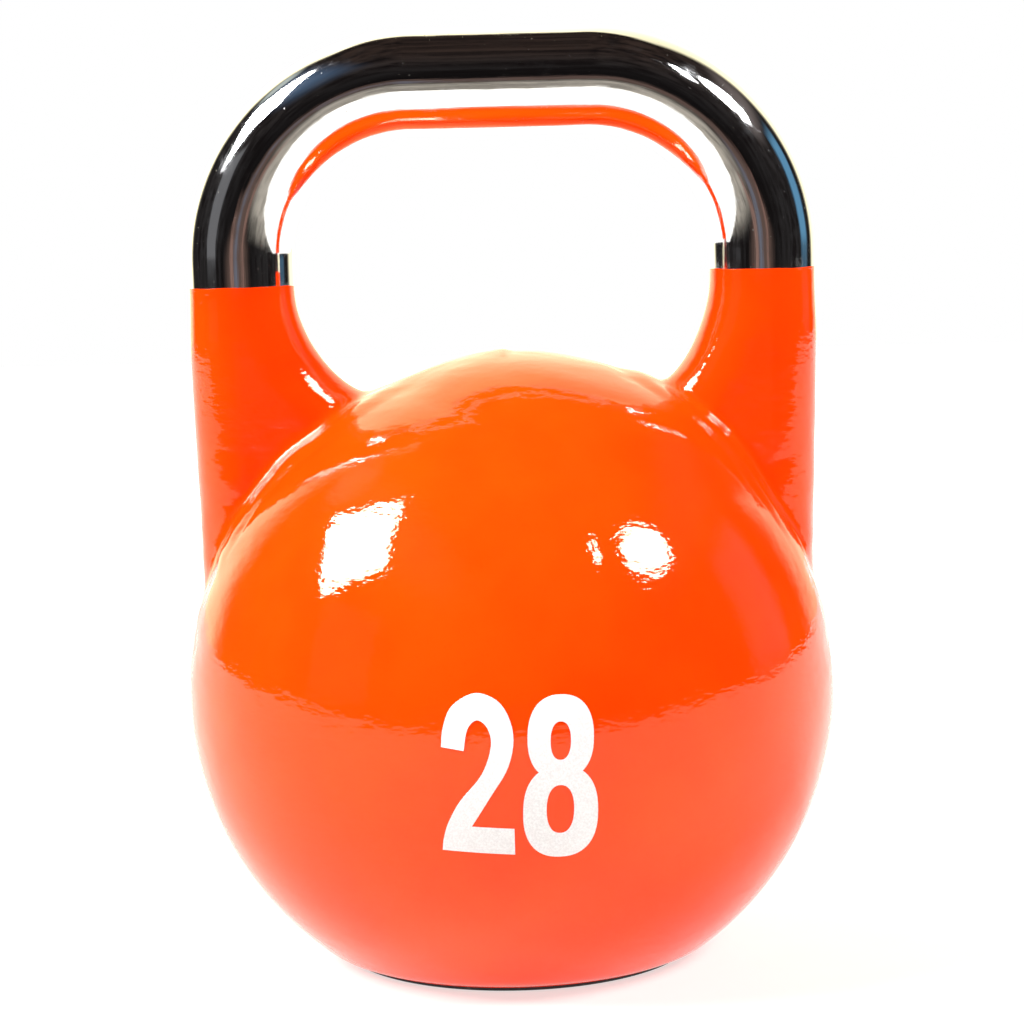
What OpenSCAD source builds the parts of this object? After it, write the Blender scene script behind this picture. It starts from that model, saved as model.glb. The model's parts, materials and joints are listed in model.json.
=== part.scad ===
// Competition kettlebell: a hollow steel ball filled with packed steel shot, a bent chrome
// tube for a handle, and two painted horns that join the tube to the ball.
// Millimetres, +Z up. The origin is on the floor under the middle of the ball, the figures
// face -Y and the handle spans X.

/* [Ball] */
// Outside diameter of the ball, the size every competition bell shares
ball_d = 210; // [150:1:260]
// Thickness of the pressed steel wall of the ball
wall_t = 8; // [6:0.5:12]
// Diameter of the flat that is left under the ball
flat_d = 122; // [100:1:150]

/* [Handle] */
// Outside diameter of the chrome tube
tube_d = 33.5; // [26:0.5:42]
// Wall of the chrome tube
tube_t = 5; // [3:0.25:8]
// Clear height from the top of the ball to the underside of the bar
clear_h = 73; // [55:1:95]
// Centre line radius of the two bends
bend_r = 55; // [40:1:70]
// How far each outer side of the handle stands inside the ball's widest width
side_inset = 4.5; // [0:0.5:15]

/* [Horns] */
// How far below its bend the left end of the tube sits
left_end_drop = 9; // [7:0.5:20]
// How far below its bend the right end of the tube sits
right_end_drop = 7; // [6:0.5:20]
// Inward lean of the horns in degrees
horn_lean = 2; // [0:0.5:5]
// Angle from the top of the ball at which the inner flare runs out, in degrees
flare_reach = 28; // [22:1:32]
// Radius of the welded fillet around each horn
root_fillet_r = 6; // [3:0.5:10]
// Depth of the peg's bore in the horn
peg_depth = 30; // [20:1:40]

/* [Base] */
// Thickness of the rubber sheet under the base
pad_t = 1.5; // [1:0.25:5]
// How far the rubber sheet stays inside the edge of the flat
pad_margin = 4; // [2:0.5:10]
// Diameter of the disc that closes the ball
plate_d = 112; // [94:1:116]
// Thickness of that disc
plate_t = 10; // [8:0.5:16]
// Width and depth of the groove weld around the disc
plate_weld_w = 6; // [3:0.5:8]

/* [Filling] */
// Thread diameter of the filling plug
plug_d = 24; // [18:1:30]
// Width across the flats of the plug's hexagon socket
hex_af = 12; // [10:1:14]
// Depth of that socket
hex_depth = 10; // [6:1:14]
// Height of the threaded boss inside the ball
boss_h = 12; // [8:1:20]
// Height of the felt wad above the steel shot
wad_h = 22; // [10:1:35]

/* [Figures] */
// Height of the two figures on the ball
figure_h = 50; // [35:1:70]
// Thickness of the white film
film_t = 0.25; // [0.15:0.05:0.6]

/* [Hidden] */
$fn = 96;
ball_r = ball_d / 2;
cavity_r = ball_r - wall_t;
centre_h = pad_t + sqrt(ball_r * ball_r - flat_d * flat_d / 4);
tube_r = tube_d / 2;
bore_r = tube_r - tube_t;
leg_x = ball_r - side_inset - tube_r;
bar_h = centre_h + ball_r + clear_h + tube_r;
bend_h = bar_h - bend_r;
straight_x = leg_x - bend_r;
// The inner flare leaves the leg a little below the bend, on both sides alike.
flare_h = bend_h - left_end_drop - 1.5;
flare_end_x = ball_r * sin(flare_reach);
flare_end_h = centre_h + ball_r * cos(flare_reach);
flare_run = leg_x - tube_r - flare_end_x;
flare_fall = flare_h - flare_end_h;
flare_r = (flare_run * flare_run + flare_fall * flare_fall) / (2 * flare_run);
flare_sweep = atan2(flare_fall, flare_r - flare_run) + 24;
// The girth joint is a V that is open to the outside.
girth_gap = 3;
girth_half_w = 4.5;
ring_h = 20;
ring_t = 4;
pad_r = flat_d / 2 - pad_margin;
pad_hole_r = plug_d / 2 + 8;
plate_r = plate_d / 2;
plate_top = pad_t + plate_t;
boss_r = plug_d / 2 + 8;
boss_top = plate_top + boss_h;
head_r = plug_d / 2 + 4;
head_t = 3.7;
seat_r = head_r + 0.5;
head_bottom = pad_t + 0.3;
seal_bottom = head_bottom + head_t;
seal_t = 1.5;
seat_top = seal_bottom + seal_t;
wad_bottom = centre_h + cavity_r - wad_h;
// The figures are drawn on a plane that faces this many degrees below level.
figure_down = 5.5;
weld_stations = 90;

// Half of the tube's round section, on the +X side or, turned, on the -X side.
module half_disc(turn) {
  rotate([0, 0, turn]) intersection() {
    circle(r = tube_r);
    translate([0, -tube_r]) square([tube_r, 2 * tube_r]);
  }
}

// The flat web that fills the fork between the straight leg and the inner flare.
module horn_web() {
  difference() {
    translate([-(flare_r + tube_r), -(flare_r + 2 * tube_r)])
      square([flare_r + tube_r, flare_r + 2 * tube_r]);
    translate([-(flare_r + tube_r), 0]) circle(r = flare_r + tube_r);
  }
}

// Body of a horn before it is cut to the ball. It leans about the end of the tube, and
// its four pieces meet face to face: a stub, the outer half of the leg, the inner half of
// the flare, and the web between them, whose flat sides are tangent to both.
module horn_body(end_h) {
  translate([leg_x, 0, end_h]) rotate([0, horn_lean, 0]) {
    translate([0, 0, flare_h - end_h]) cylinder(r = tube_r, h = end_h - flare_h + 2);
    translate([0, 0, centre_h - end_h]) linear_extrude(height = flare_h - centre_h)
      half_disc(0);
    translate([-(flare_r + tube_r), 0, flare_h - end_h]) rotate([-90, 0, 0])
      rotate_extrude(angle = flare_sweep) translate([flare_r + tube_r, 0]) half_disc(180);
    translate([0, tube_r, flare_h - end_h]) rotate([90, 0, 0])
      linear_extrude(height = 2 * tube_r) horn_web();
  }
}

module ball_solid(r) {
  translate([0, 0, centre_h]) sphere(r = r);
}

module peg(end_h, up) {
  translate([leg_x, 0, end_h - peg_depth]) cylinder(r = bore_r, h = peg_depth + up);
}

module right_side_horn(end_h) {
  difference() {
    horn_body(end_h);
    ball_solid(ball_r);
    translate([0, 0, end_h + 50]) cube([2 * ball_d, 2 * ball_d, 100], center = true);
    peg(end_h, 1);
  }
}

// Signed distance from a point to the horn, used to lay the weld along the joint.
function to_horn(p, end_h) =
  let (x = p[0] - leg_x, z = p[2] - end_h,
       lx = x * cos(horn_lean) - z * sin(horn_lean),
       lz = x * sin(horn_lean) + z * cos(horn_lean),
       leg = norm([lx, p[1]]) - tube_r,
       fx = lx + flare_r + tube_r, fz = lz + end_h - flare_h,
       past = norm([fx, fz]) - flare_r - tube_r,
       bend = norm([min(past, 0), p[1]]) - tube_r)
  fz > 0 || lx > 0 ? leg : bend;

// A point on a ball of the given radius, gone the angle s from the foot of the horn
// towards the heading q.
foot_angle = asin(leg_x * 0.83 / ball_r);
function on_ball(r, q, s) =
  let (n = [sin(foot_angle), 0, cos(foot_angle)],
       u = [cos(foot_angle), 0, -sin(foot_angle)],
       t = cos(q) * u + sin(q) * [0, 1, 0])
  [0, 0, centre_h] + r * (cos(s) * n + sin(s) * t);

// Halves the span until the point is the wanted distance from the horn.
function seek(r, q, gap, end_h, near, far, left) =
  let (mid = (near + far) / 2)
  left == 0 ? on_ball(r, q, mid)
  : to_horn(on_ball(r, q, mid), end_h) < gap ? seek(r, q, gap, end_h, mid, far, left - 1)
  : seek(r, q, gap, end_h, near, mid, left - 1);

// Section of the weld: the corner, then a hollow quarter round from the horn to the ball.
weld_section = concat([[0, 0]], [for (t = [90 : -22.5 : 0])
  [root_fillet_r * (1 - cos(t)), root_fillet_r * (1 - sin(t))]]);

module right_side_weld(end_h) {
  sides = len(weld_section);
  points = [for (i = [0 : weld_stations - 1]) for (s = weld_section)
    seek(ball_r + s[0], i * 360 / weld_stations, s[1], end_h, 0, 60, 30)];
  faces = [for (i = [0 : weld_stations - 1]) for (j = [0 : sides - 1])
    let (a = i * sides, b = ((i + 1) % weld_stations) * sides, k = (j + 1) % sides)
    each [[a + j, a + k, b + k], [a + j, b + k, b + j]]];
  polyhedron(points = points, faces = faces, convexity = 6);
}

left_end_h = bend_h - left_end_drop;
right_end_h = bend_h - right_end_drop;

module bent_rod(r) {
  translate([-straight_x, 0, bar_h]) rotate([0, 90, 0]) cylinder(r = r, h = 2 * straight_x);
  for (side = [0, 1]) mirror([side, 0, 0]) translate([straight_x, 0, bend_h])
    rotate([90, 0, 0]) rotate_extrude(angle = 90) translate([bend_r, 0]) circle(r = r);
}

module rod_legs(r, past) {
  translate([leg_x, 0, right_end_h - past]) cylinder(r = r, h = right_end_drop + past);
  translate([-leg_x, 0, left_end_h - past]) cylinder(r = r, h = left_end_drop + past);
}

module handle_tube() {
  color("silver") difference() {
    union() {
      bent_rod(tube_r);
      rod_legs(tube_r, 0);
    }
    union() {
      bent_rod(bore_r);
      rod_legs(bore_r, 1);
    }
  }
}

module left_peg() {
  color("dimgray") mirror([1, 0, 0]) peg(left_end_h, left_end_drop - 0.5);
}

module right_peg() {
  color("dimgray") peg(right_end_h, right_end_drop - 0.5);
}

module left_horn() {
  color("orangered") mirror([1, 0, 0]) right_side_horn(left_end_h);
}

module right_horn() {
  color("orangered") right_side_horn(right_end_h);
}

module left_root_weld() {
  color("orangered") mirror([1, 0, 0]) right_side_weld(left_end_h);
}

module right_root_weld() {
  color("orangered") right_side_weld(right_end_h);
}

// The V that the girth weld fills, as a ring.
module girth_groove() {
  translate([0, 0, centre_h]) rotate_extrude() polygon([
    [cavity_r + girth_gap, 0], [ball_r + 1, girth_half_w], [ball_r + 1, -girth_half_w]]);
}

// The V around the disc that closes the ball, open to the floor.
module plate_groove() {
  rotate_extrude() polygon([
    [plate_r, pad_t + plate_weld_w / 2],
    [plate_r - plate_weld_w / 2, pad_t], [plate_r + plate_weld_w / 2, pad_t]]);
}

// Hollow of the ball, with a flat floor at the level of the base plate's top.
module cavity() {
  difference() {
    ball_solid(cavity_r);
    translate([0, 0, plate_top - ball_r]) cylinder(r = ball_r, h = ball_r);
  }
}

module wall() {
  difference() {
    ball_solid(ball_r);
    cavity();
    girth_groove();
    translate([0, 0, pad_t - 50]) cube([2 * ball_d, 2 * ball_d, 100], center = true);
    translate([0, 0, pad_t - 1]) cylinder(r = plate_r, h = plate_t + 3);
    plate_groove();
  }
}

module upper_shell() {
  color("orangered") intersection() {
    wall();
    translate([0, 0, centre_h + ball_d]) cube(2 * ball_d, center = true);
  }
}

module lower_shell() {
  color("orangered") intersection() {
    wall();
    translate([0, 0, centre_h - ball_d]) cube(2 * ball_d, center = true);
  }
}

module girth_weld() {
  color("orangered") intersection() {
    ball_solid(ball_r, $fn = 480);
    girth_groove($fn = 480);
  }
}

module backing_ring() {
  color("dimgray") difference() {
    intersection() {
      ball_solid(cavity_r);
      translate([0, 0, centre_h - ring_h / 2]) cylinder(r = ball_r, h = ring_h);
    }
    translate([0, 0, centre_h - ring_h]) cylinder(r = cavity_r - ring_t, h = 2 * ring_h);
  }
}

module base_plate() {
  color("orangered") difference() {
    translate([0, 0, pad_t]) cylinder(r = plate_r, h = plate_t);
    plate_groove();
    translate([0, 0, -1]) cylinder(r = seat_r, h = seat_top + 1);
    cylinder(r = plug_d / 2, h = plate_top + 1);
  }
}

module base_weld() {
  color("orangered") plate_groove();
}

module fill_boss() {
  color("dimgray") difference() {
    translate([0, 0, plate_top]) cylinder(r = boss_r, h = boss_h);
    cylinder(r = plug_d / 2, h = boss_top + 1);
  }
}

module fill_plug() {
  color("gray") difference() {
    union() {
      translate([0, 0, head_bottom]) cylinder(r = head_r, h = head_t);
      translate([0, 0, head_bottom]) cylinder(r = plug_d / 2, h = boss_top - head_bottom);
    }
    translate([0, 0, head_bottom - 1])
      cylinder(r = hex_af / 2 / cos(30), h = hex_depth + 1, $fn = 6);
  }
}

module plug_seal() {
  color("saddlebrown") difference() {
    translate([0, 0, seal_bottom]) cylinder(r = head_r, h = seal_t);
    cylinder(r = plug_d / 2, h = seat_top + 1);
  }
}

module base_pad() {
  color("black") difference() {
    cylinder(r = pad_r, h = pad_t);
    translate([0, 0, -1]) cylinder(r = pad_hole_r, h = pad_t + 2);
  }
}

module ballast_shot() {
  color("slategray") difference() {
    cavity();
    translate([0, 0, wad_bottom]) cylinder(r = ball_r, h = ball_r);
    cylinder(r = boss_r, h = boss_top);
    difference() {
      translate([0, 0, centre_h - ring_h / 2]) cylinder(r = ball_r, h = ring_h);
      translate([0, 0, centre_h - ring_h]) cylinder(r = cavity_r - ring_t, h = 2 * ring_h);
    }
  }
}

module felt_wad() {
  color("tan") intersection() {
    ball_solid(cavity_r);
    translate([0, 0, wad_bottom]) cylinder(r = ball_r, h = ball_r);
  }
}

// Points around a squared oval: its middle, half width, half height and squareness.
function bulge(v, n) = sign(v) * pow(abs(v), 2 / n);
function oval(cx, cy, rx, ry, n) = [for (a = [0 : 6 : 354])
  [cx + rx * bulge(cos(a), n), cy + ry * bulge(sin(a), n)]];

// A smooth line through the knots, as a Catmull-Rom curve with the given steps per span.
function knot(p, i) = p[min(max(i, 0), len(p) - 1)];
function span(a, b, c, d, t) = 0.5 * (2 * b + (c - a) * t + (2 * a - 5 * b + 4 * c - d) * t * t
  + (3 * b - a - 3 * c + d) * t * t * t);
function curve(p, steps) = concat([p[0]], [for (i = [0 : len(p) - 2]) for (k = [1 : steps])
  span(knot(p, i - 1), knot(p, i), knot(p, i + 1), knot(p, i + 2), k / steps)]);

// Both outlines are drawn 50 mm tall about the middle of the pair.
module two_outline() {
  scale(figure_h / 50) polygon(concat(
    curve([[-20.8, 9.4], [-20.1, 15.2], [-17.2, 21.4], [-10.2, 24.9], [-3.2, 21.7],
      [0.1, 13.2], [-1.5, 3.7], [-6.9, -5.4], [-12.6, -14.7]], 5),
    [[-0.2, -15.5], [-0.2, -23.8], [-21.3, -22.4]],
    curve([[-21, -19.4], [-19.5, -14], [-15.8, -6.9], [-9.3, 1.3], [-6.4, 9.6],
      [-7.3, 15], [-10.3, 17.3], [-13.1, 14.6], [-14.3, 8.4]], 5)));
}

module eight_outline() {
  scale(figure_h / 50) rotate([0, 0, -1.5]) difference() {
    union() {
      polygon(oval(13.5, 11.9, 9.6, 12.3, 2.35));
      polygon(oval(13.6, -10.6, 10.9, 14.2, 2.4));
    }
    polygon(oval(13.5, 11, 2.95, 5.6, 2.3));
    polygon(oval(13.5, -9.6, 4, 7.5, 2.3));
  }
}

// Wraps an outline onto the front of the ball as a film.
module film() {
  intersection() {
    difference() {
      ball_solid(ball_r + film_t);
      ball_solid(ball_r);
    }
    translate([0, 0, centre_h]) rotate([90 + figure_down, 0, 0])
      linear_extrude(height = ball_d) children();
  }
}

module figure_two() {
  color("white") film() two_outline();
}

module figure_eight() {
  color("white") film() eight_outline();
}

handle_tube();
left_peg();
right_peg();
left_horn();
right_horn();
left_root_weld();
right_root_weld();
upper_shell();
lower_shell();
girth_weld();
backing_ring();
base_plate();
base_weld();
fill_boss();
fill_plug();
plug_seal();
base_pad();
ballast_shot();
felt_wad();
figure_two();
figure_eight();
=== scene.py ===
# %% [markdown]
# # A competition kettlebell
# The real object is a hollow steel ball with a flat foot, two painted horns that grow out of
# its shoulders, and a bent chrome tube between them. The CAD model gives every size. This
# lesson puts the finish on it: hand-dressed enamel, chrome, film figures and rubber.
#
# First the CAD model is loaded as the frame. The finished model has to stay inside it.

# %% Load the frame
import json
import math
import bpy
import bmesh
import numpy as np
from mathutils import Matrix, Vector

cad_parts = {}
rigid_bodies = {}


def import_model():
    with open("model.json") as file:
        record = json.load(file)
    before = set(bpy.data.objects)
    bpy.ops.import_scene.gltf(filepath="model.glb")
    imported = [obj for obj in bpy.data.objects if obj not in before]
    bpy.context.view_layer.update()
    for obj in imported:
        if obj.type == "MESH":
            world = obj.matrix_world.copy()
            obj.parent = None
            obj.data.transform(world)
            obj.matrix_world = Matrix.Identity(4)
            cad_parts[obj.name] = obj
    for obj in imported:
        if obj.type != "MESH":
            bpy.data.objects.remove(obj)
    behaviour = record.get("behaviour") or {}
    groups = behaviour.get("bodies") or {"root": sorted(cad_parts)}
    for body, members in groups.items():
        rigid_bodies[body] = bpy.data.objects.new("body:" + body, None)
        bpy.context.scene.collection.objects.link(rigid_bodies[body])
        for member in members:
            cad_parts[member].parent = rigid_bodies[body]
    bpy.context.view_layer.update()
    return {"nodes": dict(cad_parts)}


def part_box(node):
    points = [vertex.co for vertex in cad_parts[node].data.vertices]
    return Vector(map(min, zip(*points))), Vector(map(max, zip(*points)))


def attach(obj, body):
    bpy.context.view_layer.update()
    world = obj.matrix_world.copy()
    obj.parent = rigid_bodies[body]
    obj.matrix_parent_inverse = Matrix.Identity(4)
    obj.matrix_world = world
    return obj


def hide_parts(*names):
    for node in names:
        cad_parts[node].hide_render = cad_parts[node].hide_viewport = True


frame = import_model()
nodes = frame["nodes"]
BODY = "root"
MM = 0.001

# %% [markdown]
# The sizes that the looks need are read back from the boxes of the CAD nodes. Four sizes show
# in no box, so they are typed here as the part has them: the ball's radius, the radius of
# the bends, and the walls of the ball and the tube.

# %% Sizes, read from the CAD nodes
def span(node, axis):
    low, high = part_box(node)
    return low[axis], high[axis]

BALL_R = 105.0 * MM
BALL_WALL = 8.0 * MM
TUBE_WALL = 5.0 * MM
BEND_R = 55.0 * MM
BALL_Z = span("upper_shell", 2)[1] - BALL_R
FOOT_Z = span("lower_shell", 2)[0]
TUBE_R = (span("handle_tube", 1)[1] - span("handle_tube", 1)[0]) / 2
LEG_X = span("handle_tube", 0)[1] - TUBE_R
BAR_Z = span("handle_tube", 2)[1] - TUBE_R
LEFT_END = span("left_horn", 2)[1]
RIGHT_END = span("right_horn", 2)[1]
BEND_Z = BAR_Z - BEND_R
print("ball centre %.1f mm, bar %.1f mm, ends %.1f and %.1f mm"
      % (BALL_Z / MM, BAR_Z / MM, LEFT_END / MM, RIGHT_END / MM))

# %% [markdown]
# The camera stands a little above the ball's middle and close enough that the ball looms in
# front of the handle. A long lens and a slight tilt of the tripod give the product-shot view.

# %% Camera
def add_camera(place, down, tilt, lens):
    """Places a camera that looks along +Y, turned down and tilted by degrees."""
    data = bpy.data.cameras.new("product_camera")
    data.sensor_width = 36.0
    data.lens = lens
    data.clip_start = 0.01
    data.clip_end = 50.0
    cam = bpy.data.objects.new("product_camera", data)
    cam.rotation_mode = "XYZ"
    bpy.context.scene.collection.objects.link(cam)
    cam.location = place
    aim = Matrix.Rotation(math.radians(90 - down), 4, "X")
    roll = Matrix.Rotation(math.radians(-tilt), 4, "Z")
    cam.matrix_world = Matrix.Translation(place) @ aim @ roll
    bpy.context.scene.camera = cam
    return cam

camera = add_camera((0.0014, -0.850, 0.235), 6.18, 1.45, 92.4258)
print("lens %.1f mm" % camera.data.lens)

# %% [markdown]
# ## The enamelled body
# On the real bell the horns are welded to the ball, the joint is filled by hand and rubbed
# down, and thick enamel runs over everything, so no edge shows between the pieces. Modelling
# the fillet with bevels would give a regular, machined edge. Here the shape is a rule
# instead: the distance to the ball and the distance to the horn are melted together with a
# soft minimum, and the ball rises a little in a collar of dressed filler around each horn.
# The ball's top is a little fuller than a sphere and leans right, and the paint builds up
# on each horn below its edge. Geometry Nodes turn that rule into a mesh through a volume.

# %% The rule for the shape, as numbers
LEAN = math.radians(1.2)
FLARE_REACH = (math.radians(26.0), math.radians(28.0))
SKIN = 0.15 * MM
BUILD_UP = 0.85 * MM
BUILD_DEPTH = 24.0 * MM
CROWN = 4.0 * MM
CROWN_LEAN = 0.31
CROWN_AXIS = np.array([CROWN_LEAN, 0.0, 0.9507])
CROWN_SPREAD = (0.78, 0.95)
COLLAR_RISE = 1.3 * MM
COLLAR_REACH = 14.0 * MM
COLLAR_SIDES = (78.0 * MM, 96.0 * MM)
MELT = 4.0 * MM
FADE_Z = BALL_Z + 15.0 * MM
FADE = 20.0 * MM
TURNOVER = 22.0 * MM
FLARE_TOP = LEFT_END - 1.5 * MM

def flare_centre(reach):
    """How far the flare's arc has its centre from the horn's axis."""
    run = LEG_X - TUBE_R - BALL_R * math.sin(reach)
    fall = FLARE_TOP - BALL_Z - BALL_R * math.cos(reach)
    return (run ** 2 + fall ** 2) / (2 * run) + TUBE_R

FLARE_C = [flare_centre(reach) for reach in FLARE_REACH]

def ease(value, low, high):
    """Goes smoothly from 0 to 1 while value goes from low to high."""
    t = np.clip((value - low) / (high - low), 0, 1)
    return t * t * (3 - 2 * t)

def ball_distance(p):
    arm = p - np.array([0, 0, BALL_Z])
    reach = np.linalg.norm(arm, axis=1)
    return reach - BALL_R - CROWN * ease(arm @ CROWN_AXIS / reach, *CROWN_SPREAD)

def horn_distance(p):
    """Distance to a leaning round leg, or to its inner flare where that is nearer."""
    right = ease(p[:, 0], -TURNOVER, TURNOVER)
    end = LEFT_END + (RIGHT_END - LEFT_END) * right
    radius = TUBE_R + SKIN + BUILD_UP * ease(end - p[:, 2], 0, BUILD_DEPTH)
    x = np.abs(p[:, 0]) - LEG_X
    z = p[:, 2] - end
    lx = x * math.cos(LEAN) - z * math.sin(LEAN)
    lz = x * math.sin(LEAN) + z * math.cos(LEAN)
    leg = np.hypot(lx, p[:, 1]) - radius
    centre = FLARE_C[0] + (FLARE_C[1] - FLARE_C[0]) * right
    fx = lx + centre
    fz = lz + end - FLARE_TOP
    past = np.hypot(fx, fz) - centre
    flare = np.hypot(np.minimum(past, 0), p[:, 1]) - radius
    fade = np.maximum(FADE_Z - p[:, 2], 0) ** 2 / FADE
    return np.where((fz > 0) | (lx > 0), leg, flare) + fade

print("flare radius left %.1f mm, right %.1f mm"
      % tuple((centre - TUBE_R) / MM for centre in FLARE_C))

# %% [markdown]
# The same rule is now written as a node tree. A tiny helper adds one Math node per call, so
# the formula stays readable. The tree fills a box with the distance and lets Volume to Mesh
# find the skin.

# %% A helper that writes formulas as nodes
class Formula:
    def __init__(self, tree):
        self.tree = tree

    def node(self, kind, **inputs):
        n = self.tree.nodes.new(kind)
        for key, value in inputs.items():
            self.feed(n.inputs[key], value)
        return n

    def feed(self, socket, value):
        if isinstance(value, bpy.types.NodeSocket):
            self.tree.links.new(value, socket)
        else:
            socket.default_value = value

    def math(self, operation, *values):
        n = self.tree.nodes.new("ShaderNodeMath")
        n.operation = operation
        for socket, value in zip(n.inputs, values):
            self.feed(socket, value)
        return n.outputs[0]

    def ramp(self, value, low, high, at_low=0.0, at_high=1.0):
        """Eases from one number to another while value goes from low to high."""
        n = self.tree.nodes.new("ShaderNodeMapRange")
        n.interpolation_type = "SMOOTHSTEP"
        for key, v in (("Value", value), ("From Min", low), ("From Max", high),
                       ("To Min", at_low), ("To Max", at_high)):
            self.feed(n.inputs[key], v)
        return n.outputs[0]

    def noise(self, coords, scale, detail=2.0, roughness=0.5, stretch=None):
        if stretch:
            turn = self.node("ShaderNodeMapping", Vector=coords, Scale=stretch)
            coords = turn.outputs[0]
        n = self.node("ShaderNodeTexNoise", Vector=coords, Scale=scale, Detail=detail,
                      Roughness=roughness)
        return n.outputs["Fac"]

    def mix(self, fac, a, b):
        n = self.tree.nodes.new("ShaderNodeMix")
        n.data_type = "RGBA"
        colours = [s for s in n.inputs if s.type == "RGBA"]
        self.feed(n.inputs[0], fac)
        self.feed(colours[0], a)
        self.feed(colours[1], b)
        return [s for s in n.outputs if s.type == "RGBA"][0]

    def add(self, a, b):
        return self.math("ADD", a, b)

    def sub(self, a, b):
        return self.math("SUBTRACT", a, b)

    def mul(self, a, b):
        return self.math("MULTIPLY", a, b)

    def length(self, a, b):
        return self.math("SQRT", self.add(self.mul(a, a), self.mul(b, b)))

    def choose(self, test, yes, no):
        return self.add(no, self.mul(test, self.sub(yes, no)))

def new_tree(name, sizes):
    tree = bpy.data.node_groups.new(name, "GeometryNodeTree")
    tree.interface.new_socket("Geometry", in_out="OUTPUT", socket_type="NodeSocketGeometry")
    for label in sizes:
        tree.interface.new_socket(label, in_out="INPUT", socket_type="NodeSocketFloat")
    return tree, tree.nodes.new("NodeGroupInput"), tree.nodes.new("NodeGroupOutput")

def run_tree(name, tree, sizes):
    """Evaluates a tree on an empty mesh and returns the result as a plain object."""
    maker = bpy.data.objects.new(name + "_maker", bpy.data.meshes.new(name + "_maker"))
    bpy.context.scene.collection.objects.link(maker)
    mod = maker.modifiers.new("tree", "NODES")
    mod.node_group = tree
    for item in tree.interface.items_tree:
        if item.item_type == "SOCKET" and item.in_out == "INPUT" and item.name in sizes:
            mod[item.identifier] = float(sizes[item.name])
    depsgraph = bpy.context.evaluated_depsgraph_get()
    mesh = bpy.data.meshes.new_from_object(maker.evaluated_get(depsgraph))
    mesh.name = name
    bpy.data.objects.remove(maker, do_unlink=True)
    return mesh

FINISHES = {}

def named_finish(name):
    """The finish of that name, made empty the first time and filled in later."""
    if name not in FINISHES:
        FINISHES[name] = bpy.data.materials.new(name)
    return FINISHES[name]

# %% The body's tree
VOLUME_LOW, VOLUME_HIGH = (-0.112, -0.112, -0.004), (0.112, 0.112, 0.230)
SPARE_TOP = 6.0 * MM

def body_tree():
    tree, gin, gout = new_tree("enamelled_body", [
        "Ball Radius", "Ball Height", "Crown", "Crown Lean", "Leg Spacing", "Horn Radius",
        "Build Up", "Build Depth", "Lean", "Left End", "Right End", "Left Flare",
        "Right Flare", "Flare Top", "Collar Rise", "Collar Reach", "Melt", "Fade Height",
        "Fade", "Foot Height", "Voxel"])
    f = Formula(tree)
    size = gin.outputs
    place = tree.nodes.new("GeometryNodeInputPosition")
    split = f.node("ShaderNodeSeparateXYZ", Vector=place.outputs[0])
    x, y, z = split.outputs[0], split.outputs[1], split.outputs[2]
    up = f.sub(z, size["Ball Height"])
    reach = f.math("MAXIMUM", f.length(f.length(x, y), up), 0.001)
    lean = size["Crown Lean"]
    aim = f.add(f.mul(x, lean),
                f.mul(up, f.math("SQRT", f.sub(1.0, f.mul(lean, lean)))))
    crown = f.mul(f.ramp(f.math("DIVIDE", aim, reach), *CROWN_SPREAD), size["Crown"])
    ball = f.sub(f.sub(reach, size["Ball Radius"]), crown)
    right = f.ramp(x, -TURNOVER, TURNOVER)
    end = f.choose(right, size["Right End"], size["Left End"])
    dx = f.sub(f.math("ABSOLUTE", x), size["Leg Spacing"])
    dz = f.sub(z, end)
    sin, cos = f.math("SINE", size["Lean"]), f.math("COSINE", size["Lean"])
    lx = f.sub(f.mul(dx, cos), f.mul(dz, sin))
    lz = f.add(f.mul(dx, sin), f.mul(dz, cos))
    radius = f.add(size["Horn Radius"], f.mul(size["Build Up"], f.ramp(
        f.math("DIVIDE", f.sub(end, z), size["Build Depth"]), 0.0, 1.0)))
    leg = f.sub(f.length(lx, y), radius)
    centre = f.choose(right, size["Right Flare"], size["Left Flare"])
    fx = f.add(lx, centre)
    fz = f.sub(f.add(lz, end), size["Flare Top"])
    past = f.sub(f.length(fx, fz), centre)
    flare = f.sub(f.length(f.math("MINIMUM", past, 0.0), y), radius)
    plain = f.math("MAXIMUM", f.math("GREATER_THAN", fz, 0.0),
                   f.math("GREATER_THAN", lx, 0.0))
    low = f.math("MAXIMUM", f.sub(size["Fade Height"], z), 0.0)
    horn = f.add(f.choose(plain, leg, flare), f.math("DIVIDE", f.mul(low, low), size["Fade"]))
    horn = f.math("MAXIMUM", horn, f.sub(z, f.add(end, SPARE_TOP)))
    collar = f.mul(size["Collar Rise"], f.ramp(
        f.math("DIVIDE", horn, size["Collar Reach"]), 0.5, 1.0, 1.0, 0.0))
    collar = f.mul(collar, f.ramp(f.math("ABSOLUTE", x), *COLLAR_SIDES, 1.0, 0.0))
    melted = f.math("SMOOTH_MIN", f.sub(ball, collar), horn, size["Melt"])
    skin = f.math("MAXIMUM", melted, f.sub(size["Foot Height"], z))
    cube = f.node("GeometryNodeVolumeCube", Density=f.mul(skin, -1.0), Background=-1.0)
    cube.inputs["Min"].default_value = VOLUME_LOW
    cube.inputs["Max"].default_value = VOLUME_HIGH
    for axis, a, b in zip("XYZ", VOLUME_LOW, VOLUME_HIGH):
        count = f.math("DIVIDE", b - a, size["Voxel"])
        tree.links.new(count, cube.inputs["Resolution " + axis])
    mesh = f.node("GeometryNodeVolumeToMesh", Volume=cube.outputs[0], Threshold=0.0)
    real = f.node("GeometryNodeRealizeInstances", Geometry=mesh.outputs[0])
    coat = f.node("GeometryNodeSetMaterial", Geometry=real.outputs[0],
                  Material=named_finish("orange_enamel"))
    tree.links.new(coat.outputs[0], gout.inputs[0])
    return tree

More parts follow.
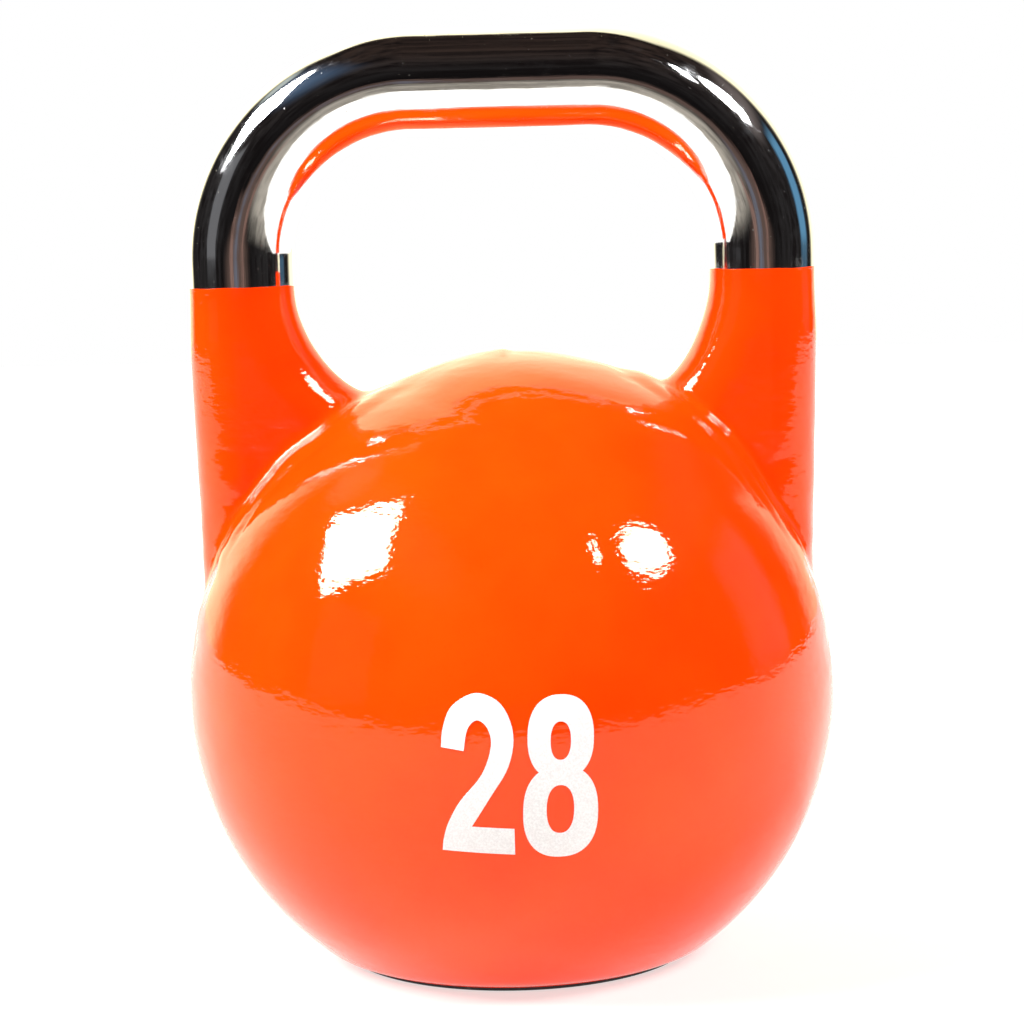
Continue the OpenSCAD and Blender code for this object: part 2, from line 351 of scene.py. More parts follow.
body_mesh = run_tree("enamelled_body", body_tree(), {
    "Ball Radius": BALL_R, "Ball Height": BALL_Z, "Crown": CROWN,
    "Crown Lean": CROWN_LEAN, "Leg Spacing": LEG_X, "Horn Radius": TUBE_R + SKIN,
    "Build Up": BUILD_UP, "Build Depth": BUILD_DEPTH, "Lean": LEAN, "Left End": LEFT_END,
    "Right End": RIGHT_END, "Left Flare": FLARE_C[0], "Right Flare": FLARE_C[1],
    "Flare Top": FLARE_TOP,
    "Collar Rise": COLLAR_RISE, "Collar Reach": COLLAR_REACH, "Melt": MELT,
    "Fade Height": FADE_Z, "Fade": FADE, "Foot Height": FOOT_Z, "Voxel": 1.75 * MM})
print("body:", len(body_mesh.vertices), "points,", len(body_mesh.polygons), "faces")

# %% [markdown]
# The volume only gives the shape to about a millimetre. Each point is now pulled onto the
# exact rule, spread evenly with its neighbours, and pulled on again. The rule gets its
# handwork here too: slow waves where the filler was rubbed down beside the horns, which a
# bump map could not show at the edge of the shape. They only ever cut inwards, and the
# front of the ball stays true, because the film figures lie on it.

# %% The dressed surface, as numbers
def waves(p, length, seed, count=12):
    """Smooth, repeatable waves between -1 and 1, about one length apart."""
    rng = np.random.default_rng(seed)
    way = rng.normal(size=(count, 3))
    way /= np.linalg.norm(way, axis=1)[:, None]
    way *= (2 * math.pi / length * rng.uniform(0.7, 1.4, count))[:, None]
    return np.clip(np.sin(p @ way.T + rng.uniform(0, 6.28, count)).sum(axis=1) / count * 2.2,
                   -1, 1)

FOOT_ROUND = 5.0 * MM
CLEAR = 0.02 * MM
DRESSED_WIDTH = 20.0 * MM
HANDWORK = ((0.70 * MM, 24 * MM, 3), (0.20 * MM, 10 * MM, 5))
ROUNDNESS, ROUND_LENGTH = 0.05 * MM, 60 * MM

def hollows(p, length, seed):
    """Waves between 0 and 1, for cutting inwards."""
    return (1 - waves(p, length, seed)) / 2

def soft_min(a, b, reach):
    h = np.maximum(reach - np.abs(a - b), 0) / reach
    return np.minimum(a, b) - h ** 3 * reach / 6

def dressing(p):
    """How much filler work there is at a point: 1 at the weld, 0 away from it."""
    gap = np.abs(ball_distance(p) - horn_distance(p))
    return np.exp(-(gap / DRESSED_WIDTH) ** 2)

def skin_distance(p):
    ball = ball_distance(p) + CLEAR
    cut = dressing(p) * sum(depth * hollows(p, length, seed)
                            for depth, length, seed in HANDWORK)
    figures = np.exp(-((p[:, 0] / 0.06) ** 2 + ((p[:, 2] - BALL_Z + 0.01) / 0.05) ** 2))
    round_ball = ROUNDNESS * hollows(p, ROUND_LENGTH, 9) * (1 - figures)
    horn = horn_distance(p)
    collar = (COLLAR_RISE * (1 - ease(horn, COLLAR_REACH / 2, COLLAR_REACH))
              * (1 - ease(np.abs(p[:, 0]), *COLLAR_SIDES)))
    melted = soft_min(ball - collar, horn, MELT) + cut + round_ball
    return -soft_min(-melted, p[:, 2] - FOOT_Z, FOOT_ROUND)

def slope(p, rule=skin_distance, step=0.05 * MM):
    """Which way the rule rises, found by stepping a little along each axis."""
    cols = []
    for axis in range(3):
        d = np.zeros(3)
        d[axis] = step
        cols.append((rule(p + d) - rule(p - d)) / (2 * step))
    return np.stack(cols, axis=1)

def settle(p, rounds=4):
    """Pulls points onto the rule, each round along the way that the rule rises."""
    for _ in range(rounds):
        g = slope(p)
        p = p - g * (skin_distance(p) / np.maximum((g ** 2).sum(axis=1), 1e-3))[:, None]
    return p

def even_out(p, edges, strength=0.5):
    """Moves each point towards the middle of its neighbours, along the skin only."""
    a, b = edges[:, 0], edges[:, 1]
    count = np.bincount(a, minlength=len(p)) + np.bincount(b, minlength=len(p))
    middle = np.stack([np.bincount(a, p[b, k], len(p)) + np.bincount(b, p[a, k], len(p))
                       for k in range(3)], axis=1) / np.maximum(count, 1)[:, None]
    pull = (middle - p) * strength
    n = slope(p)
    n /= np.maximum(np.linalg.norm(n, axis=1), 1e-6)[:, None]
    return p + pull - n * (pull * n).sum(axis=1)[:, None]

def read_points(mesh):
    p = np.empty(len(mesh.vertices) * 3)
    mesh.vertices.foreach_get("co", p)
    return p.reshape(-1, 3)

def write_points(mesh, p):
    mesh.vertices.foreach_set("co", np.asarray(p, dtype=np.float32).ravel())
    mesh.update()

points = read_points(body_mesh)
edges = np.empty(len(body_mesh.edges) * 2, dtype=np.int32)
body_mesh.edges.foreach_get("vertices", edges)
edges = edges.reshape(-1, 2)
points = settle(points)
for _ in range(3):
    points = settle(even_out(points, edges), 2)
write_points(body_mesh, points)
print("largest error after settling: %.4f mm"
      % (np.abs(skin_distance(points[points[:, 2] < LEFT_END])).max() / MM))

# %% [markdown]
# One skin is cut into the three pieces that the CAD model has: the ball and two horns. The
# cut follows the line where ball and horn are equally near, so both sides share the same
# points and the enamel looks unbroken. The same cutter trims the paint edge under the chrome
# and the land on the foot. Cutting along a value is done by splitting each edge that crosses
# zero and joining the new points across every face.

# %% Cutting a mesh along a value
def cut_along(bm, value, near=0.12):
    """Splits faces where value(points) crosses zero. Points very near the line move on it."""
    bm.verts.ensure_lookup_table()
    p = np.array([v.co for v in bm.verts])
    v = value(p)
    bm.verts.index_update()
    on_line = set()
    for e in bm.edges:
        i, j = e.verts[0].index, e.verts[1].index
        if v[i] * v[j] < 0:
            t = v[i] / (v[i] - v[j])
            if t < near and i not in on_line:
                on_line.add(i)
                e.verts[0].co = e.verts[0].co.lerp(e.verts[1].co, t)
            elif t > 1 - near and j not in on_line:
                on_line.add(j)
                e.verts[1].co = e.verts[0].co.lerp(e.verts[1].co, t)
    for i in on_line:
        v[i] = 0.0
    chain = [bm.verts[i] for i in on_line]
    for e in list(bm.edges):
        i, j = e.verts[0].index, e.verts[1].index
        if v[i] * v[j] < 0:
            first = e.verts[0]
            t = v[i] / (v[i] - v[j])
            _, new = bmesh.utils.edge_split(e, first, t)
            chain.append(new)
    bmesh.ops.connect_verts(bm, verts=chain)

def face_value(bm, value):
    return value(np.array([f.calc_center_median() for f in bm.faces]))

def drop_faces(bm, test):
    doomed = [f for f, gone in zip(list(bm.faces), test) if gone]
    bmesh.ops.delete(bm, geom=doomed, context="FACES")
    loose = [v for v in bm.verts if not v.link_faces]
    bmesh.ops.delete(bm, geom=loose, context="VERTS")

LAND_R = 56.0 * MM
LAP = 0.35 * MM
LAP_WAVE = 0.22 * MM

def seam_value(p):
    return ball_distance(p) - horn_distance(p)

def land_value(p):
    """Above zero inside the round opening in the foot."""
    low = p[:, 2] < FOOT_Z + 3 * MM
    return np.where(low, LAND_R - np.hypot(p[:, 0], p[:, 1]), -1.0)

def paint_edge_value(p):
    """Above zero past the brushed edge of the enamel, which laps onto the chrome."""
    end = np.where(p[:, 0] > 0, RIGHT_END, LEFT_END)
    turn = np.arctan2(p[:, 1], np.abs(p[:, 0]) - LEG_X)
    side = np.where(p[:, 0] > 0, 1.3, 0.0)
    wave = (np.sin(2 * turn + side) + 0.5 * np.sin(5 * turn + 2 + side)
            + 0.4 * np.sin(9 * turn + 1)) / 1.9
    return p[:, 2] - (end + LAP + LAP_WAVE * wave)

bm = bmesh.new()
bm.from_mesh(body_mesh)
cut_along(bm, paint_edge_value)
drop_faces(bm, face_value(bm, paint_edge_value) > 0)
cut_along(bm, land_value)
drop_faces(bm, face_value(bm, land_value) > 0)
cut_along(bm, seam_value)
print("trimmed skin:", len(bm.verts), "points")

# %% [markdown]
# Each piece is closed so that it is a solid in its own right. The ball gets its inner wall
# and the bore for the base plate, the horns get the lip of paint that rolls over onto the
# chrome, and both get a shared, hidden wall where they meet inside the weld. Normals come
# from the rule itself, which keeps the reflections smooth across every cut.

# %% Closing the pieces
def part_of(bm, keep):
    """A copy of the mesh with only the faces that are marked."""
    part = bm.copy()
    part.faces.ensure_lookup_table()
    bmesh.ops.delete(part, geom=[f for f, k in zip(list(part.faces), keep) if not k],
                     context="FACES")
    bmesh.ops.delete(part, geom=[v for v in part.verts if not v.link_faces],
                     context="VERTS")
    return part

def open_loops(bm):
    """The open borders, each as a list of points in order along the border's faces."""
    after = {}
    for e in bm.edges:
        if len(e.link_loops) == 1:
            loop = e.link_loops[0]
            after[loop.vert] = loop.link_loop_next.vert
    loops = []
    while after:
        start, v = next(iter(after.items()))
        ring = [start]
        del after[start]
        while v is not start and v in after:
            ring.append(v)
            v = after.pop(v)
        loops.append(ring)
    return loops

def add_ring(bm, ring, place):
    """Walls the border down to a new ring; place gives each new point from the old one."""
    new = [bm.verts.new(place(v.co)) for v in ring]
    count = len(ring)
    for i in range(count):
        j = (i + 1) % count
        bm.faces.new((ring[j], ring[i], new[i], new[j]))
    return new

def add_fan(bm, ring, centre):
    tip = bm.verts.new(centre)
    for i, v in enumerate(ring):
        bm.faces.new((ring[(i + 1) % len(ring)], v, tip))

def ring_centre(ring):
    return tuple(np.mean([v.co for v in ring], axis=0))

WALL_R = BALL_R - BALL_WALL
WALL_STEPS = 24
PLATE_TOP = span("base_plate", 2)[1]

def add_inner_wall(bm, ring):
    """The bore for the base plate, a flat ledge, then the hollow's round wall."""
    ring = add_ring(bm, ring, lambda c: (c[0], c[1], PLATE_TOP))
    start = math.acos((BALL_Z - PLATE_TOP) / WALL_R)
    for k in range(WALL_STEPS):
        a = start + (math.pi - start) * k / WALL_STEPS
        height = BALL_Z - math.cos(a) * WALL_R
        s = math.sin(a) * WALL_R / math.hypot(ring[0].co[0], ring[0].co[1])
        ring = add_ring(bm, ring, lambda c: (c[0] * s, c[1] * s, height))
    add_fan(bm, ring, (0, 0, BALL_Z + WALL_R))

def add_lip(bm, ring):
    """The enamel's rolled edge, its way back down the chrome, and the horn's flat top."""
    side = 1 if ring[0].co.x > 0 else -1
    end = RIGHT_END if side > 0 else LEFT_END

    def at(radius, lift=None):
        def place(c):
            x, y = c[0] - side * LEG_X, c[1]
            s = radius / math.hypot(x, y)
            z = end if lift is None else c[2] + lift
            return (side * LEG_X + x * s, y * s, z)
        return place
    for radius, lift in ((0.12, 0.05), (0.07, 0.02), (0.01, -0.02), (0.01, None)):
        ring = add_ring(bm, ring, at(TUBE_R + radius * MM,
                                     None if lift is None else lift * MM))
    add_fan(bm, ring, (side * LEG_X, 0, end))

def finish_piece(bm, name, skin):
    """Makes the object; skin holds the points that lie on the enamel's outer face."""
    outer = np.array([v in skin for v in bm.verts])
    mesh = bpy.data.meshes.new(name)
    bm.normal_update()
    for f in bm.faces:
        f.smooth = True
    bm.to_mesh(mesh)
    bm.free()
    p = read_points(mesh)
    p[outer] = settle(p[outer], 1)
    write_points(mesh, p)
    normals = np.zeros((len(mesh.vertices), 3))
    n = slope(p[outer])
    normals[outer] = n / np.linalg.norm(n, axis=1)[:, None]
    mesh.normals_split_custom_set_from_vertices(normals.tolist())
    work = mesh.attributes.new("filler", "FLOAT", "POINT")
    work.data.foreach_set("value", dressing(p).astype(np.float32))
    piece = bpy.data.objects.new(name, mesh)
    bpy.context.scene.collection.objects.link(piece)
    print("%s: %d points" % (name, len(mesh.vertices)))
    return piece

nearer_ball = face_value(bm, seam_value) < 0
middle_x = np.array([f.calc_center_median().x for f in bm.faces])
skins = {}
for name, keep in (("ball_skin", nearer_ball),
                   ("left_horn_skin", ~nearer_ball & (middle_x < 0)),
                   ("right_horn_skin", ~nearer_ball & (middle_x > 0))):
    part = part_of(bm, keep)
    skin = set(part.verts)
    for ring in open_loops(part):
        centre = ring_centre(ring)
        if centre[2] < 20 * MM:
            add_inner_wall(part, ring)
        elif centre[2] > LEFT_END - 5 * MM:
            add_lip(part, ring)
        else:
            add_fan(part, ring, centre)
    skins[name] = finish_piece(part, name, skin)
bm.free()

# %% [markdown]
# ## The chrome handle
# The handle is one length of tube, bent twice and polished before plating. Such a tube is a
# path and a round profile, so it is swept along a path with filleted corners. A bending
# die also flattens the outside of each bend a little; the tree presses those points inwards.

# %% The tube's tree
def tube_tree():
    tree, gin, gout = new_tree("bent_tube", [
        "Tube Radius", "Bore Radius", "Leg Spacing", "Bar Height", "Bend Radius",
        "Left End", "Right End", "Flattening"])
    f = Formula(tree)
    size = gin.outputs

    def point(x, z):
        return f.node("ShaderNodeCombineXYZ", X=x, Z=z).outputs[0]
    path = f.node("GeometryNodeCurvePrimitiveLine")
    resample = f.node("GeometryNodeResampleCurve", Curve=path.outputs[0], Count=4)
    rank = tree.nodes.new("GeometryNodeInputIndex").outputs[0]

    def is_rank(k):
        return f.math("COMPARE", rank, float(k), 0.1)
    sign = f.sub(f.mul(f.math("GREATER_THAN", rank, 1.5), 2.0), 1.0)
    x = f.mul(size["Leg Spacing"], sign)
    ends = f.add(f.mul(is_rank(0), size["Left End"]), f.mul(is_rank(3), size["Right End"]))
    z = f.add(ends, f.mul(f.add(is_rank(1), is_rank(2)), size["Bar Height"]))
    placed = f.node("GeometryNodeSetPosition", Geometry=resample.outputs[0],
                    Position=point(x, z))
    bent = f.node("GeometryNodeFilletCurve", Curve=placed.outputs[0],
                  Radius=size["Bend Radius"])
    bent.mode = "POLY"
    bent.inputs["Count"].default_value = 72
    skins = []
    for radius, inner in ((size["Tube Radius"], False), (size["Bore Radius"], True)):
        ring = f.node("GeometryNodeCurvePrimitiveCircle", Resolution=128, Radius=radius)
        sweep = f.node("GeometryNodeCurveToMesh", Curve=bent.outputs[0])
        f.feed(sweep.inputs["Profile Curve"], ring.outputs[0])
        out = sweep.outputs[0]
        if inner:
            out = f.node("GeometryNodeFlipFaces", Mesh=out).outputs[0]
        skins.append(out)
    both = tree.nodes.new("GeometryNodeJoinGeometry")
    for out in skins:
        tree.links.new(out, both.inputs[0])
    place = tree.nodes.new("GeometryNodeInputPosition").outputs[0]
    split = f.node("ShaderNodeSeparateXYZ", Vector=place)
    bend_x = f.sub(size["Leg Spacing"], size["Bend Radius"])
    bend_z = f.sub(size["Bar Height"], size["Bend Radius"])
    dx = f.sub(f.math("ABSOLUTE", split.outputs[0]), bend_x)
    dz = f.sub(split.outputs[2], bend_z)
    reach = f.length(dx, dz)
    turn = f.math("ARCTAN2", dz, dx)
    inside = f.mul(f.math("GREATER_THAN", dx, 0.0), f.math("GREATER_THAN", dz, 0.0))
    bow = f.math("POWER", f.math("MAXIMUM", f.math("SINE", f.mul(turn, 2.0)), 0.0), 1.3)
    outward = f.math("MAXIMUM", f.math("DIVIDE", f.sub(reach, size["Bend Radius"]),
                                       size["Tube Radius"]), 0.0)
    press = f.mul(f.mul(f.mul(inside, bow), outward), f.mul(size["Flattening"], -1.0))
    shrink = f.math("DIVIDE", press, f.math("MAXIMUM", reach, 0.001))
    sx = f.mul(f.mul(shrink, dx), f.math("SIGN", split.outputs[0]))
    offset = f.node("ShaderNodeCombineXYZ", X=sx, Z=f.mul(shrink, dz))
    pressed = f.node("GeometryNodeSetPosition", Geometry=both.outputs[0])
    f.feed(pressed.inputs["Offset"], offset.outputs[0])
    real = f.node("GeometryNodeRealizeInstances", Geometry=pressed.outputs[0])
    coat = f.node("GeometryNodeSetMaterial", Geometry=real.outputs[0],
                  Material=named_finish("chrome_tube"))
    tree.links.new(coat.outputs[0], gout.inputs[0])
    return tree

BORE_R = TUBE_R - TUBE_WALL
tube_mesh = run_tree("bent_handle", tube_tree(), {
    "Tube Radius": TUBE_R, "Bore Radius": BORE_R, "Leg Spacing": LEG_X,
    "Bar Height": BAR_Z, "Bend Radius": BEND_R, "Left End": LEFT_END,
    "Right End": RIGHT_END, "Flattening": 0.7 * MM})

# %% [markdown]
# The sweep leaves the cut ends open. They are closed with flat rings between the outside and
# the bore. The finish needs to know where it is on the tube, for polishing marks run along
# the length. So each point keeps the turn around the tube and the length along it.

# %% Closing the ends and marking the length
def tube_finish_coords(p):
    straight = LEG_X - BEND_R
    dx, dz = np.abs(p[:, 0]) - straight, p[:, 2] - BEND_Z
    out = np.hypot(np.maximum(dx, 0), np.maximum(dz, 0)) - BEND_R
    out = np.where(dx < 0, dz - BEND_R, np.where(dz < 0, dx - BEND_R, out))
    quarter = BEND_R * math.pi / 2
    bend = np.arctan2(np.maximum(dx, 0), np.maximum(dz, 1e-9)) * BEND_R
    along = np.where(dx < 0, np.abs(p[:, 0]),
                     np.where(dz < 0, straight + quarter - dz, straight + bend))
    around = np.arctan2(p[:, 1], out)
    return np.stack([np.cos(around), np.sin(around),
                     along * np.sign(p[:, 0]) / TUBE_R], axis=1)

def object_of(name, mesh):
    obj = bpy.data.objects.new(name, mesh)
    bpy.context.scene.collection.objects.link(obj)
    return obj

bm = bmesh.new()
bm.from_mesh(tube_mesh)
for side in (-1, 1):
    rim = [e for e in bm.edges if e.is_boundary and e.verts[0].co.x * side > 0]
    bmesh.ops.bridge_loops(bm, edges=rim)
bmesh.ops.recalc_face_normals(bm, faces=bm.faces)
for f in bm.faces:
    f.smooth = True
for e in bm.edges:
    if len(e.link_faces) == 2 and e.calc_face_angle() > 0.9:
        e.smooth = False
bm.to_mesh(tube_mesh)
bm.free()
coords = tube_finish_coords(read_points(tube_mesh))
tube_uv = tube_mesh.attributes.new("tube_place", "FLOAT_VECTOR", "POINT")
tube_uv.data.foreach_set("vector", coords.astype(np.float32).ravel())
handle = object_of("bent_handle", tube_mesh)
print("handle: %d points" % len(tube_mesh.vertices))

# %% [markdown]
# ## The foot
# The underside has a steel plate set into the ball, a ring of weld around it, and a thin
# rubber pad so that the bell does not mark the floor. All three are turned shapes, so a
# small lathe makes them from a profile. The weld is then given the scalloped beads that a
# torch leaves, and the pad gets moulded ribs.

# %% A lathe, the weld and the pad
def lathe(name, profile, turns=256, shape=None):
    """Turns a closed profile of (radius, height) points around the upright axis."""
    bm = bmesh.new()
    rings = []
    for k in range(turns):
        a = 2 * math.pi * k / turns
        ring = []
        for r, z in profile:
            if shape:
                r, z = shape(r, z, a)
            ring.append(bm.verts.new((r * math.cos(a), r * math.sin(a), z)))
        rings.append(ring)
    for k in range(turns):
        one, two = rings[k], rings[(k + 1) % turns]
        for i in range(len(profile)):
            j = (i + 1) % len(profile)
            bm.faces.new((one[i], two[i], two[j], one[j]))
    bmesh.ops.recalc_face_normals(bm, faces=bm.faces)
    for f in bm.faces:
        f.smooth = True
    for e in bm.edges:
        if len(e.link_faces) == 2 and e.calc_face_angle() > 0.7:
            e.smooth = False
    mesh = bpy.data.meshes.new(name)
    bm.to_mesh(mesh)
    bm.free()
    print("%s: %d points" % (name, len(mesh.vertices)))
    return object_of(name, mesh)

PAD_R = span("base_pad", 0)[1]
PAD_TOP = span("base_pad", 2)[1]
PAD_HOLE = 20.0 * MM
PAD_EDGE = 0.45 * MM
RIB = 3.0 * MM
BEADS = 64

def weld_bead(r, z, a):
    """Presses each point of the bead into overlapping scallops."""
    if z > FOOT_Z + 0.2 * MM:
        return r, z
    step = (a * BEADS / (2 * math.pi)) % 1.0
    scallop = (step - 0.5) ** 2 * 4
    lean = math.sin(a * 7 + 1) * 0.12 + math.sin(a * 3) * 0.1
    return r + (scallop * 0.25 + lean) * MM, z + scallop * 0.18 * MM

bead = [(52 * MM, FOOT_Z + 2 * MM), (59.0 * MM, FOOT_Z + 2 * MM)]
for k in range(9):
    t = k / 8
    bead.append((59.6 * MM - t * 7 * MM,
                 FOOT_Z + 0.35 * MM - 0.55 * MM * math.sin(math.pi * t)))
base_bead = lathe("base_bead", bead, 1024, weld_bead)

def pad_profile():
    """The pad's section: rounded edges, and grooves between the ribs underneath."""
    edge, inner, outer = PAD_EDGE, PAD_HOLE, PAD_R
    bevel = 0.1 * MM
    pts = [(inner, PAD_TOP), (outer - bevel, PAD_TOP), (outer, PAD_TOP - bevel),
           (outer, edge), (outer - edge * 0.3, edge * 0.3), (outer - edge, 0.0)]
    start = outer - RIB
    for k in range(int((outer - inner - 2 * RIB) / RIB)):
        for inward, z in ((0, 0.0), (0.3, 0.35), (1.0, 0.35), (1.3, 0.0)):
            pts.append((start - k * RIB - inward * MM, z * MM))
    return pts + [(inner + edge, 0.0), (inner + edge * 0.3, edge * 0.3), (inner, edge)]

grip_pad = lathe("grip_pad", pad_profile(), 192)

# %% [markdown]
# ## Finishes
# Every finish is built from nodes. The constant numbers sit on the shader's own sockets and
# the nodes only drive what changes over the surface: colour, roughness and height.

# %% A start for each finish
def finish_of(name, **constant):
    """A material with one glossy shader; the constants go on the shader's own sockets."""
    mat = named_finish(name)
    mat.use_nodes = True
    tree = mat.node_tree
    tree.nodes.clear()
    shader = tree.nodes.new("ShaderNodeBsdfPrincipled")
    out = tree.nodes.new("ShaderNodeOutputMaterial")
    tree.links.new(shader.outputs[0], out.inputs[0])
    for key, value in constant.items():
        shader.inputs[key.replace("_", " ")].default_value = value
    where = tree.nodes.new("ShaderNodeTexCoord").outputs["Object"]
    return mat, Formula(tree), shader, where

def relief(f, shader, height, depth, after=None):
    """Adds surface relief; depth is in metres for a height of one."""
    n = f.node("ShaderNodeBump", Height=height, Strength=1.0, Distance=depth)
    if after:
        f.feed(n.inputs["Normal"], after)
    f.feed(shader.inputs["Normal"], n.outputs[0])
    return n.outputs[0]

# %% [markdown]
# The enamel is a thick, saturated orange with a hard gloss. Three things keep it from looking
# like plastic: a fine orange peel from spraying, slow ripples where the filler was dressed by
# hand beside the welds, and a little unevenness in tone and gloss. Sparse darker specks are
# painted shade in small pores.

# %% Orange enamel
def enamel():
    mat, f, shader, where = finish_of("orange_enamel", IOR=1.43,
                                      Specular_Tint=(1.0, 0.94, 0.72, 1))
    filler = f.node("ShaderNodeAttribute")
    filler.attribute_name = "filler"
    worked = filler.outputs["Fac"]
    tone = f.noise(where, 22.0, 3.0, 0.6)
    pores = f.noise(where, 900.0, 2.0, 0.6)
    base = f.mix(f.ramp(tone, 0.3, 0.7), (0.97, 0.054, 0.0010, 1), (1.0, 0.044, 0.0006, 1))
    # Sparse darker specks: painted shade in small pores, which have no shape of their own.
    pore_shade = f.mul(f.ramp(pores, 0.58, 0.74), 0.12)
    f.feed(shader.inputs["Base Color"], f.mix(pore_shade, base, (0.80, 0.020, 0.001, 1)))
    gloss = f.noise(where, 60.0, 4.0, 0.65)
    f.feed(shader.inputs["Roughness"], f.ramp(gloss, 0.25, 0.8, 0.015, 0.055))
    peel = f.noise(where, 480.0, 1.0, 0.5)
    drag = f.noise(where, 210.0, 2.0, 0.6, stretch=(0.7, 0.7, 1.9))
    ripples = f.noise(where, 60.0, 2.0, 0.5, stretch=(1.0, 1.0, 1.6))
    first = relief(f, shader, peel, 0.034 * MM)
    second = relief(f, shader, drag, 0.10 * MM, after=first)
    relief(f, shader, f.mul(ripples, f.add(f.mul(worked, 0.8), 0.3)), 0.50 * MM,
           after=second)
    return mat

orange = enamel()

# %% [markdown]
# Chrome shows the room, so it has almost no colour of its own. What makes it real are faint
# polishing lines along the tube, finger haze that softens some of the reflections, and a few
# pinholes in the plating.

# %% Chrome
def chrome():
    mat, f, shader, where = finish_of("chrome_tube", Metallic=1.0)
    place = f.node("ShaderNodeAttribute")
    place.attribute_name = "tube_place"
    along = place.outputs["Vector"]
    lines = f.noise(along, 1.0, 2.0, 0.6, stretch=(55.0, 55.0, 1.2))
    haze = f.ramp(f.noise(along, 1.6, 5.0, 0.7), 0.50, 0.74)
    pits = f.ramp(f.noise(where, 1100.0, 1.0, 0.5), 0.775, 0.81)
    tint = f.mix(f.mul(haze, 0.35), (0.80, 0.80, 0.81, 1), (0.66, 0.67, 0.70, 1))
    f.feed(shader.inputs["Base Color"], f.mix(pits, tint, (0.26, 0.23, 0.19, 1)))
    rough = f.add(f.add(f.mul(haze, 0.10), f.mul(pits, 0.18)),
                  f.ramp(lines, 0.3, 0.7, 0.015, 0.075))
    f.feed(shader.inputs["Roughness"], rough)
    ripple = f.noise(along, 1.0, 1.0, 0.5, stretch=(1.6, 1.6, 1.1))
    first = relief(f, shader, lines, 0.010 * MM)
    second = relief(f, shader, ripple, 0.10 * MM, after=first)
    relief(f, shader, pits, 0.02 * MM, after=second)
    return mat

mirror = chrome()

# %% [markdown]
# The figures are cut from thin white film. Its printed face has a fine tooth, so it scatters
# light. Small creases from being pressed onto the round ball by hand are painted shade:
# darker pinkish patches in the film's colour, with no shape of their own.

# %% White film
def film():
    mat, f, shader, where = finish_of("white_film", IOR=1.45)
    tooth = f.noise(where, 1500.0, 3.0, 0.7)
    crease_shade = f.noise(where, 160.0, 3.0, 0.6)
    paper = f.mix(f.ramp(tooth, 0.35, 0.7), (0.72, 0.70, 0.705, 1), (0.86, 0.85, 0.855, 1))
    # Darker pinkish patches: painted shade of small creases in the film.
    f.feed(shader.inputs["Base Color"],
           f.mix(f.mul(f.ramp(crease_shade, 0.5, 0.8), 0.3), paper, (0.74, 0.66, 0.655, 1)))
    f.feed(shader.inputs["Roughness"], f.ramp(tooth, 0.2, 0.8, 0.42, 0.72))
    relief(f, shader, tooth, 0.05 * MM)
    return mat

white = film()

# %% [markdown]
# The hidden metals and the soft pieces get finishes as well, because the bell can be taken
# apart on screen: bare steel with mill marks, a zinc-plated plug, pressed fibre, rubber,
# dull shot and wool felt. They share one recipe with different numbers.

# %% The other finishes
def plain_finish(name, light, dark, rough, grain, depth, metallic=0.0, stretch=None,
                 spots=None):
    mat, f, shader, where = finish_of(name, Metallic=metallic)
    fine = f.noise(where, grain, 4.0, 0.6, stretch)
    slow = f.noise(where, grain / 14, 3.0, 0.6)
    colour = f.mix(f.ramp(slow, 0.3, 0.7), light + (1,), dark + (1,))
    if spots:
        speck = f.ramp(f.noise(where, grain / 4, 2.0, 0.6), 0.60, 0.70)
        colour = f.mix(f.mul(speck, 0.6), colour, spots + (1,))
    f.feed(shader.inputs["Base Color"], f.mix(f.mul(fine, 0.3), colour, dark + (1,)))
    f.feed(shader.inputs["Roughness"], f.ramp(fine, 0.25, 0.75, rough[0], rough[1]))
    relief(f, shader, fine, depth * MM)
    return mat

steel = plain_finish("bare_steel", (0.50, 0.49, 0.47), (0.34, 0.33, 0.32), (0.28, 0.48),
                     500.0, 0.03, 1.0, (1.0, 0.12, 1.0), (0.20, 0.10, 0.05))
zinc = plain_finish("plug_steel", (0.62, 0.63, 0.64), (0.44, 0.45, 0.47), (0.22, 0.40),
                    700.0, 0.02, 1.0)
fibre = plain_finish("seal_fibre", (0.20, 0.055, 0.035), (0.12, 0.035, 0.025), (0.7, 0.9),
                     1200.0, 0.05)
rubber = plain_finish("black_rubber", (0.032, 0.032, 0.034), (0.018, 0.018, 0.019),
                      (0.55, 0.80), 1400.0, 0.05, spots=(0.10, 0.095, 0.09))
shot = plain_finish("steel_shot", (0.30, 0.29, 0.28), (0.13, 0.125, 0.12), (0.35, 0.6),
                    260.0, 1.2, 1.0)
felt = plain_finish("wool_felt", (0.42, 0.40, 0.37), (0.26, 0.25, 0.23), (0.9, 1.0),
                    900.0, 0.4)

# %% [markdown]
# Now each new piece gets its finish and joins the body, and the CAD nodes it stands for are
# hidden. CAD nodes that already have the right shape stay, and only get their finish.

# %% Dressing the assembly
def dress(piece, mat, slot, *stands_for):
    piece.data.materials.clear()
    piece.data.materials.append(mat)
    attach(piece, BODY)
    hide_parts(*stands_for)

dress(skins["ball_skin"], orange, "orange_enamel", "upper_shell", "lower_shell",
      "girth_weld")
dress(skins["left_horn_skin"], orange, "orange_enamel", "left_horn", "left_root_weld")
dress(skins["right_horn_skin"], orange, "orange_enamel", "right_horn", "right_root_weld")
dress(handle, mirror, "chrome_tube", "handle_tube")
dress(base_bead, orange, "orange_enamel", "base_weld")
dress(grip_pad, rubber, "black_rubber", "base_pad")

